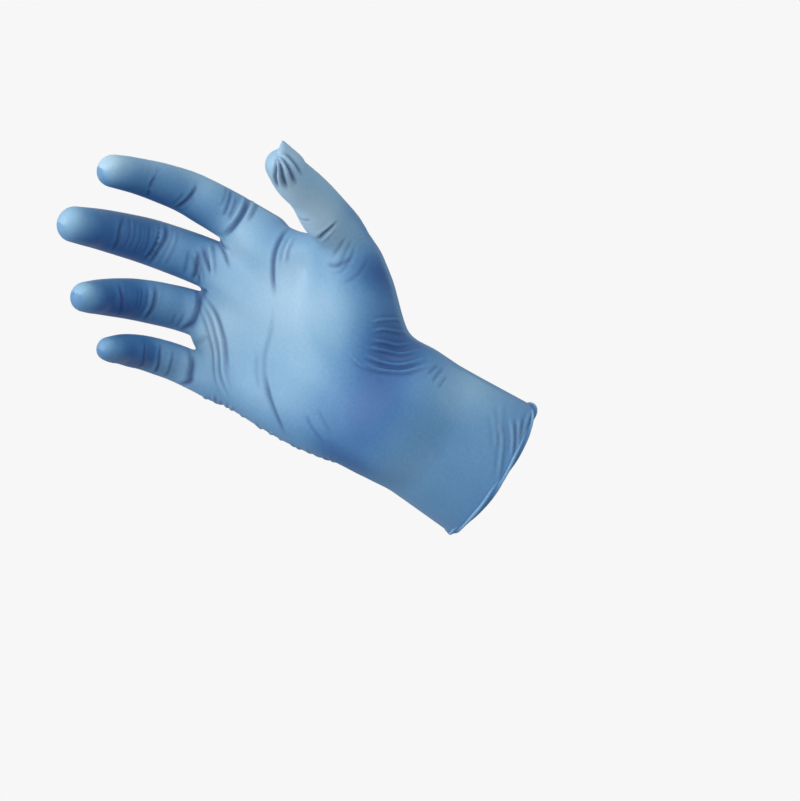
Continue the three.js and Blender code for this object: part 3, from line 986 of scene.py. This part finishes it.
def digit_light_and_shade(chart, whole, pale, deep, aside):
    """How much paler each point of a digit is painted, which is whole long: painted light on the
    end and the thumb side, painted shade on the middle and the other side.
    """
    front = np.exp(-(chart.v / (FRONT_WIDTH * ROUND)) ** 2)
    end = step(chart.u, whole + END_FADE[0], whole + END_FADE[1])
    middle = step(chart.u, MIDDLE_FADE[0] * whole, MIDDLE_FADE[1] * whole) * (1 - end)
    side = step(chart.u, 0, ROOT_FADE) * np.clip(chart.v / ROUND, *SIDE_LIMITS)
    depth = BACK_DEPTH + (1 - BACK_DEPTH) * front
    return chart.holds * (pale * end - deep * middle * depth + aside * side)


def tint_with_painted_light(found, marks):
    """How pale the film is at each point, from 0 to 1: its stretch and ridges, with painted light
    and shade.
    """
    tint = BASE_TINT + palm_stretch_and_light(found["palm"]) + RIDGE_TINT * marks.ridge
    for name, digit in DIGITS.items():
        tint = tint + digit_light_and_shade(found[name], sum(digit["lengths"]), *DIGIT_LIGHT_AND_SHADE[name])
    return np.clip(tint, 0, 1)


points, quads = skin(hand_field())
points = relax(points, quads)
quads = quads[np.all(points[quads][..., 2] > MOUTH_LEVEL - PITCH, axis=1)]
points[:, 2] = np.maximum(points[:, 2], MOUTH_LEVEL)
normals = normals_of(points, quads)
found = charts(points, normals)
marks = crease(points, found)
points = points + normals * marks.height[:, None]
normals = normals_of(points, quads)

film = nitrile()
# tint holds the film's stretch with painted light and shade; fold holds painted shade.
attributes = {"tint": tint_with_painted_light(found, marks), "fold": np.clip(marks.fold, 0, 1),
              "rest": points * MM}
bends = crossings()
labels = label_faces(points[quads].mean(axis=1), bends)
for i, bend in enumerate(bends):
    piece = film_piece(bend["piece"], points, quads[labels == i], normals, attributes, film)
    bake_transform(piece)
    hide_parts(*bend["nodes"])
for i, (body, node) in enumerate((("palm", "palm_shell"), ("cuff", "cuff_sleeve")), len(bends)):
    piece = film_piece(f"film_{body}", points, quads[labels == i], normals, attributes, film)
    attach(piece, body)
    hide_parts(node)


# ---- the rolled edge ----

BEAD_STEPS = 560
BEAD_SIDES = 16
BEAD_LEVEL = 0.2      # how far it is lifted off the mouth's plane
BEAD_TWISTS = 9       # half turns of the two strands, once round the mouth
# Waves round the mouth, in the twist and in the bead itself: count, size and phase.
TWIST_WAVES = ((2, 1.5, 0), (5, 0.8, 1))
BEAD_WAVES = ((3, 0.16, 0.6), (7, 0.12, 2.1), (13, 0.08, 4.0))
# How much of the bead's waves shows outwards, upwards and in its thickness.
OUT_SHARE, RISE_SHARE, THICK_SHARE = 0.5, 0.6, 0.6
STRAND = 0.26         # how far the strands stand out
# The bead's tint and fold: a painted highlight on each strand's crest, painted shade in the
# grooves between the strands.
STRAND_TINT, STRAND_CREST_HIGHLIGHT = 0.5, 0.22
STRAND_FOLD, STRAND_GROOVE_SHADE = 0.24, 0.176


def waves(rows, angle, turned=1, curve=math.sin):
    """The sum of some waves at an angle round the mouth."""
    return sum(size * curve(count * angle + turned * phase) for count, size, phase in rows)


def bead_faces():
    """Four-cornered faces round a closed tube, ring after ring."""
    faces = []
    for i in range(BEAD_STEPS):
        a, b = i * BEAD_SIDES, (i + 1) % BEAD_STEPS * BEAD_SIDES
        for k in range(BEAD_SIDES):
            after = (k + 1) % BEAD_SIDES
            faces.append((a + k, b + k, b + after, a + after))
    return faces


def bead():
    """The rim, rolled up unevenly, so that it looks like two strands round each other."""
    corners, strands = [], []
    wide, deep = (half - BEAD_RADIUS for half in MOUTH_HALF)
    for i in range(BEAD_STEPS):
        angle = 2 * math.pi * i / BEAD_STEPS
        wave = waves(BEAD_WAVES, angle)
        rise = waves(BEAD_WAVES, angle, 2, math.cos)
        twist = BEAD_TWISTS * angle + waves(TWIST_WAVES, angle)
        outward = np.array([*unit([math.cos(angle) / wide, math.sin(angle) / deep]), 0])
        middle = np.array([wide * math.cos(angle), deep * math.sin(angle),
                           BEAD_RADIUS + BEAD_LEVEL])
        middle = middle + OUT_SHARE * wave * outward + RISE_SHARE * rise * UPWARD
        for k in range(BEAD_SIDES):
            roll = 2 * math.pi * k / BEAD_SIDES
            strand = math.cos(2 * roll - twist)
            size = BEAD_RADIUS * (1 + THICK_SHARE * wave) + STRAND * strand
            corners.append(middle + size * (math.cos(roll) * outward + math.sin(roll) * UPWARD))
            strands.append(strand)
    corners, strands = np.array(corners), np.array(strands)
    # Painted highlight on the strands' crests and painted shade in the grooves between them.
    attributes = {"tint": STRAND_TINT + STRAND_CREST_HIGHLIGHT * strands,
                  "fold": STRAND_FOLD - STRAND_GROOVE_SHADE * strands, "rest": corners * MM}
    return add_piece("bead", corners, bead_faces(), attributes, film)


rim = bead()
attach(rim, "cuff")
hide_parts("cuff_bead")


# ---- camera, light and floor ----

# The view: degrees round the glove, above it, and that the picture is rolled.
VIEW_AZIMUTH = 11.6
VIEW_HEIGHT = 13.6
VIEW_ROLL = 58.0
VIEW_DISTANCE = 1.2                      # metres
VIEW_WIDTH = 0.3134                      # metres that the picture takes in, at the glove
AIM_RIGHT, AIM_UP = -0.0362, 0.0272      # what the picture's middle shows, in metres
SENSOR = 36.0                            # millimetres
PALE = 0.93                              # how pale the floor and the surroundings look
WORLD_LIGHT, FLOOR_LIGHT = 0.60, 0.48    # how strongly they light the glove
FLOOR_HALF, FLOOR_LEVEL = 4.0, -0.12     # metres; the photo shows no ground near the glove
LIT_POINT = (0, 0.015, 0.1)
# Each softbox: direction in the picture as right, up and back, distance and size
# in metres, and power in watts.
SOFTBOXES = {
    "key": ((-0.8, 0.2, 0.45), 1.1, 0.8, 7.0),
    "fill": ((0.1, 0.6, 0.8), 1.4, 1.0, 5.2),
}


def view_axes():
    """The picture's right and up, and the direction to the camera."""
    azimuth, height, roll = (math.radians(a) for a in (VIEW_AZIMUTH, VIEW_HEIGHT, VIEW_ROLL))
    back = Vector((math.sin(azimuth) * math.cos(height), -math.cos(azimuth) * math.cos(height),
                   math.sin(height)))
    level = Vector((math.cos(azimuth), math.sin(azimuth), 0))
    above = back.cross(level)
    right = level * math.cos(roll) - above * math.sin(roll)
    up = level * math.sin(roll) + above * math.cos(roll)
    return right, up, back


def add_camera(right, up, back):
    data = bpy.data.cameras.new("camera")
    data.sensor_width = SENSOR
    data.lens = SENSOR * VIEW_DISTANCE / VIEW_WIDTH
    camera = bpy.data.objects.new("camera", data)
    bpy.context.scene.collection.objects.link(camera)
    place = right * AIM_RIGHT + up * AIM_UP + back * VIEW_DISTANCE
    turn = Matrix((right, up, back)).transposed().to_4x4()
    camera.matrix_world = Matrix.Translation(place) @ turn
    bpy.context.scene.camera = camera


def shine_white(nodes, links, glow, light):
    """Looks pale white, and lights the glove by another strength."""
    glow.inputs["Color"].default_value = (1, 1, 1, 1)
    path = nodes.new("ShaderNodeLightPath")
    strength = nodes.new("ShaderNodeMapRange")
    strength.inputs["To Min"].default_value = light
    strength.inputs["To Max"].default_value = PALE
    links.new(path.outputs["Is Camera Ray"], strength.inputs["Value"])
    links.new(strength.outputs["Result"], glow.inputs["Strength"])


def pale_world():
    world = bpy.data.worlds.new("studio")
    bpy.context.scene.world = world
    world.use_nodes = True
    nodes, links = world.node_tree.nodes, world.node_tree.links
    shine_white(nodes, links, nodes["Background"], WORLD_LIGHT)


def pale_floor():
    material = bpy.data.materials.new("floor")
    material.use_nodes = True
    nodes, links = material.node_tree.nodes, material.node_tree.links
    nodes.remove(nodes["Principled BSDF"])
    glow = nodes.new("ShaderNodeEmission")
    shine_white(nodes, links, glow, FLOOR_LIGHT)
    links.new(glow.outputs["Emission"], nodes["Material Output"].inputs["Surface"])
    mesh = bpy.data.meshes.new("floor")
    corners = [(x * FLOOR_HALF, y * FLOOR_HALF, FLOOR_LEVEL)
               for x, y in ((-1, -1), (1, -1), (1, 1), (-1, 1))]
    mesh.from_pydata(corners, [], [(0, 1, 2, 3)])
    mesh.materials.append(material)
    floor = bpy.data.objects.new("floor", mesh)
    bpy.context.scene.collection.objects.link(floor)


def softbox(name, direction, distance, size, power):
    """A square lamp that faces the glove."""
    data = bpy.data.lights.new(name, "AREA")
    data.size = size
    data.energy = power
    lamp = bpy.data.objects.new(name, data)
    bpy.context.scene.collection.objects.link(lamp)
    toward = direction.normalized()
    lamp.location = Vector(LIT_POINT) + toward * distance
    lamp.rotation_mode = "QUATERNION"
    lamp.rotation_quaternion = (-toward).to_track_quat("-Z", "Y")


right, up, back = view_axes()
add_camera(right, up, back)
pale_world()
pale_floor()
for name, ((x, y, z), *settings) in SOFTBOXES.items():
    softbox(name, right * x + up * y + back * z, *settings)
bpy.context.scene.view_settings.view_transform = "Standard"
